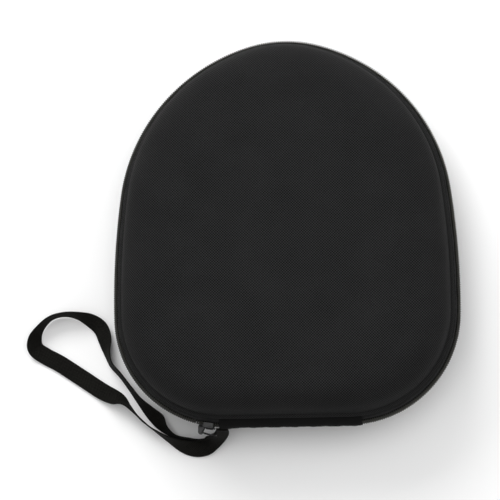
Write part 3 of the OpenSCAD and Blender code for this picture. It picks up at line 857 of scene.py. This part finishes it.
def make_slider():
    v, f = [], []
    h = R3 * math.radians(SLIDER_A)
    plate = smooth_outline([(-h, -3.3), (-h * 0.35, -4.35), (h * 0.75, -4.35), (h, -3.7), (h, 3.7), (h * 0.75, 4.35), (-h * 0.35, 4.35), (-h, 3.3)], 4, 1.0)
    block(v, f, plate, 0.3, 1.35, 0.28)
    # side flanges that wrap the coil
    for sg in (-1, 1):
        fl = smooth_outline([(-h * 0.5, sg * 3.25), (h * 0.85, sg * 3.25), (h * 0.85, sg * 4.3), (-h * 0.45, sg * 4.3)], 3, 0.3)
        block(v, f, fl, -1.85, 0.6, 0.2)
    # inner plate
    inner_plate = smooth_outline([(-h * 0.95, -1.3), (-h * 0.3, -2.05), (h * 0.9, -2.05), (h * 0.9, 2.05), (-h * 0.3, 2.05), (-h * 0.95, 1.3)], 4, 0.6)
    block(v, f, inner_plate, -4.25, -3.4, 0.2)
    # divider between the two rows, at the open end
    post = smooth_outline([(-h * 0.96, -0.5), (-h * 0.55, -0.28), (-h * 0.2, -0.05), (-h * 0.2, 0.05), (-h * 0.55, 0.28), (-h * 0.96, 0.5)], 3, 0.2)
    block(v, f, post, -3.6, 0.5, 0.05)
    # ears and the pull's bar, with a raised rib behind them
    ear_y = -math.radians(2.6) * R3
    for sg in (-1, 1):
        prof = []
        for k in range(13):
            t = math.pi * k / 12
            prof.append((3.85 + 1.05 * math.sin(t), ear_y + 1.05 * math.cos(t)))
        prof += [(0.9, ear_y - 1.7), (0.9, ear_y + 1.9)]
        base = len(v)
        n = len(prof)
        for z, k in ((2.05, 0.12), (2.17, 0.0), (2.83, 0.0), (2.95, 0.12)):
            for x, y in prof:
                cx, cy = 2.8, ear_y
                d = math.hypot(x - cx, y - cy)
                fct = (d - k) / d
                v.append((cx + (x - cx) * fct, cy + (y - cy) * fct, sg * z))
        for i in range(3):
            for j in range(n):
                a, b = base + i * n + j, base + i * n + (j + 1) % n
                f.append((a, b, b + n, a + n))
        f.append(tuple(base + j for j in range(n - 1, -1, -1)))
        f.append(tuple(base + 3 * n + j for j in range(n)))
    tube(v, f, [(4.0, ear_y, -2.3), (4.0, ear_y, -1.2), (4.0, ear_y, 0), (4.0, ear_y, 1.2), (4.0, ear_y, 2.3)], 0.58, 12)
    rib = smooth_outline([(-h * 0.1, -0.9), (h * 0.8, -0.6), (h * 0.8, 0.6), (-h * 0.1, 0.9)], 3, 0.35)
    block(v, f, rib, 1.2, 1.85, 0.25)
    return bent("zip_slider", v, f, SLIDER_AT)


slider = make_slider()
dress(slider, "metal", "slider_metal", "slider_body")
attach(slider, "slider")

EAR_AT = SLIDER_AT + 2.6


def make_pull():
    """Eye round the bar, a waisted neck and a rounded tab with a slot, thin and slightly bowed."""
    v, f = [], []
    # eye
    ring_n, sect = 20, 8
    base = len(v)
    prof = [(0.72, -1.5), (0.72, 1.5), (0.9, 1.7), (1.2, 1.7), (1.35, 1.5), (1.35, -1.5), (1.2, -1.7), (0.9, -1.7)]
    for i in range(ring_n):
        t = 2 * math.pi * i / ring_n
        for r, z in prof:
            v.append((4.0 + r * math.cos(t), r * math.sin(t), z))
    for i in range(ring_n):
        for j in range(sect):
            a = base + i * sect + j
            b = base + i * sect + (j + 1) % sect
            c = base + ((i + 1) % ring_n) * sect + (j + 1) % sect
            d = base + ((i + 1) % ring_n) * sect + j
            f.append((a, b, c, d))

    # tab, as a strip of cross-sections along y with a slot near its end
    def bow(y):
        return 4.0 + 0.5 * math.sin(min(1.0, max(0.0, y - 1.0) / 8.6) * math.pi)

    def half_w(y):
        if y < 3.2:
            return 1.7 - 0.25 * math.sin(math.pi * max(0.0, y - 1.0) / 2.2)
        if y < 6.7:
            return 1.7 + (2.85 - 1.7) * (1 - (1 - min(1.0, (y - 3.2) / 1.6)) ** 2)
        d = (y - 6.7) / 2.88
        return 2.85 * math.sqrt(max(0.0, 1 - d * d))

    ys = [1.0, 1.6, 2.2, 2.7, 3.2, 3.7, 4.2, 4.8, 5.4, 6.0, 6.7, 7.3, 7.9, 8.5, 9.0, 9.35, 9.52]
    th = 0.42

    def slot(y):
        d = (y - 6.6) / 1.35
        return 1.25 * math.sqrt(max(0.0, 1 - d * d)) if abs(d) < 1 else 0.0

    for sg in (-1, 1):
        base = len(v)
        for y in ys:
            w, k = max(half_w(y), 0.35), slot(y)
            x = bow(y)
            pr = [(x - th, k), (x - th * 0.9, (k + w) / 2), (x - th, w - 0.2), (x - th * 0.5, w), (x + th * 0.5, w), (x + th, w - 0.2), (x + th * 0.9, (k + w) / 2), (x + th, k)]
            for px, pz in pr:
                v.append((px, y, sg * pz))
        for i in range(len(ys) - 1):
            for j in range(8):
                if j == 7 and slot(ys[i]) == 0 and slot(ys[i + 1]) == 0:
                    continue
                a, b = base + i * 8 + j, base + i * 8 + (j + 1) % 8
                f.append((a, b, b + 8, a + 8))
        f.append(tuple(base + j for j in range(8)))
        f.append(tuple(base + (len(ys) - 1) * 8 + j for j in range(7, -1, -1)))
    pts = []
    for x, y, z in v:
        ang = math.radians(-90 - EAR_AT)
        out_v = Vector((math.cos(ang), math.sin(ang), 0))
        along = Vector((-math.sin(ang), math.cos(ang), 0))
        c = Vector((-FLAT, R3 + Y0, HALF))
        pts.append(c + out_v * (R3 + x) + along * y + Vector((0, 0, z)))
    ob = new_object("zip_pull", pts, f, [(p[1] / 100, p[2] / 100) for p in v], True, 40)
    import bmesh
    bm = bmesh.new()
    bm.from_mesh(ob.data)
    bmesh.ops.remove_doubles(bm, verts=bm.verts, dist=1e-6)
    bmesh.ops.recalc_face_normals(bm, faces=bm.faces)
    bm.to_mesh(ob.data)
    bm.free()
    return ob


pull = make_pull()
dress(pull, "metal", "slider_metal", "pull_tab")
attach(pull, "pull")

# ------------------------------------------------------------------ net pocket in the lid
NET_Z = HALF - 5.6 - 3.0
NET_O = SHO - (SHW - 5.6) * math.cos(math.asin((NET_Z - SHZ) / (SHH - 5.6))) + 0.4
NET_REACH, ELASTIC = 128.0, 9.0


def net_width(y):
    """Half width of the net at y mm from the hinge line."""
    best = 0.0
    for i in range(0, 400):
        s = HALF_L * i / 399
        (px, py), (nx, ny) = station(s)
        x, yy = px - NET_O * nx, py - NET_O * ny
        if abs(yy - y) < 1.2 and x > best:
            best = x
    return best


def make_net():
    """Knitted net with diamond holes: thin flat yarns, each a small closed bar."""
    verts, faces, uvs = [], [], []
    y_lo, y_hi = NET_O + 0.2, NET_REACH + 1.0
    dx, dy = 4.2, 3.4
    table = {}

    def wide(y):
        k = round(y, 1)
        if k not in table:
            table[k] = net_width(k)
        return table[k]

    def bar(p, q, w=0.42, t=0.18):
        d = (q - p)
        if d.length < 0.3:
            return
        d.normalize()
        sd = Vector((-d.y, d.x, 0)) * w
        base = len(verts)
        mid = (p + q) / 2
        for c, k in ((p, 0.8), (mid, 0.65), (q, 0.8)):
            for a, b in ((-1, -1), (1, -1), (1, 1), (-1, 1)):
                verts.append(c + sd * (a * k) + Vector((0, 0, b * t)))
                uvs.append((c.x / 100, c.y / 100))
        for i in (0, 4):
            for j in range(4):
                a, b = base + i + j, base + i + (j + 1) % 4
                faces.append((a, b, b + 4, a + 4))
        faces.append((base + 3, base + 2, base + 1, base))
        faces.append((base + 8, base + 9, base + 10, base + 11))

    rows = int((y_hi - y_lo) / dy)
    for r in range(rows):
        y, y2 = y_lo + r * dy, y_lo + (r + 1) * dy
        w1 = wide(y + dy / 2)
        n = int(w1 / dx) + 2
        for k in range(-n, n + 1):
            off = dx / 2 if r % 2 else 0.0
            for sg in (-1, 1):
                x1, x2 = k * dx + off, k * dx + off + sg * dx / 2
                if max(abs(x1), abs(x2)) > w1 + 1.0:
                    continue
                bow = 0.5 * math.cos(min(1, abs(x1) / max(w1, 1)) * math.pi / 2)
                z = HALF + NET_Z + 0.25 - bow
                bar(Vector((x1, y + Y0, z)), Vector((x2, y2 + Y0, z)))
    return new_object("pocket_net", verts, faces, uvs, False)


net = outward(make_net())
dress(net, "net", "net", "mesh_pocket")
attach(net, "lid")


def make_elastic():
    """Ribbed elastic band, slightly gathered, along the net's open edge."""
    w = net_width(NET_REACH + ELASTIC / 2) - 0.3
    xs = [-w + 2 * w * i / 120 for i in range(121)]
    prof = []
    for k in range(9):
        t = k / 8
        prof.append((t, 0.55 + 0.1 * math.sin(math.pi * t)))
    prof = prof + [(t, -h) for t, h in prof[::-1]]
    rows = []
    for x in xs:
        row = []
        for t, h in prof:
            g_ = 0.22 * math.sin(x * 1.1) * math.sin(math.pi * t)
            bow = 0.6 * math.cos(x / w * math.pi / 2)
            row.append(Vector((x, NET_REACH + ELASTIC * t + Y0, HALF + NET_Z + 0.25 + h + g_ - bow)))
        rows.append(row)
    uv = {"rows": [x / 100 for x in xs], "cols": [x / 100 for x in lengths([(t * ELASTIC, h, 0) for t, h in prof + prof[:1]])]}
    return grid_mesh("pocket_band", rows, uv, False, True, caps=True, sharp=50)


band = make_elastic()
dress(band, "elastic", "elastic", "pocket_elastic")
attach(band, "lid")

# ------------------------------------------------------------------ stage and light
def plain(name, colour, rough):
    m = Nodes(name)
    n = m.noise(m.place(), 6.0, 2.0)
    m.link(m.colour(n, tuple(c * 0.995 for c in colour), colour), m.bsdf.inputs["Base Color"])
    socket(m.bsdf, "Roughness", rough)
    socket(m.bsdf, "Specular IOR Level", 0.1)
    return m.mat


bpy.ops.mesh.primitive_plane_add(size=6.0, location=(0, 0, -0.0003))
floor = bpy.context.object
floor.name = "floor"
floor.data.materials.append(plain("pale_floor", (0.92, 0.92, 0.92), 0.9))

world = bpy.data.worlds.new("world")
bpy.context.scene.world = world
world.use_nodes = True
bg = world.node_tree.nodes["Background"]
bg.inputs[0].default_value = (1, 1, 1, 1)
bg.inputs[1].default_value = 0.4
bpy.context.scene.view_settings.view_transform = "Standard"


def area(name, loc, target, size, power):
    d = bpy.data.lights.new(name, "AREA")
    d.shape = "RECTANGLE"
    d.size, d.size_y = size
    d.energy = power
    o = bpy.data.objects.new(name, d)
    bpy.context.scene.collection.objects.link(o)
    o.location = loc
    o.rotation_mode = "QUATERNION"
    o.rotation_quaternion = (Vector(target) - Vector(loc)).to_track_quat("-Z", "Y")
    return o


area("key", (-0.45, 0.95, 0.85), (0, 0, 0.04), (0.9, 0.6), 12.5)
area("fill", (0.9, 0.1, 0.9), (0, 0, 0.03), (0.8, 0.8), 3.0)
area("overhead", (0.0, 0.1, 1.5), (0, 0, 0.0), (1.6, 1.6), 11.0)
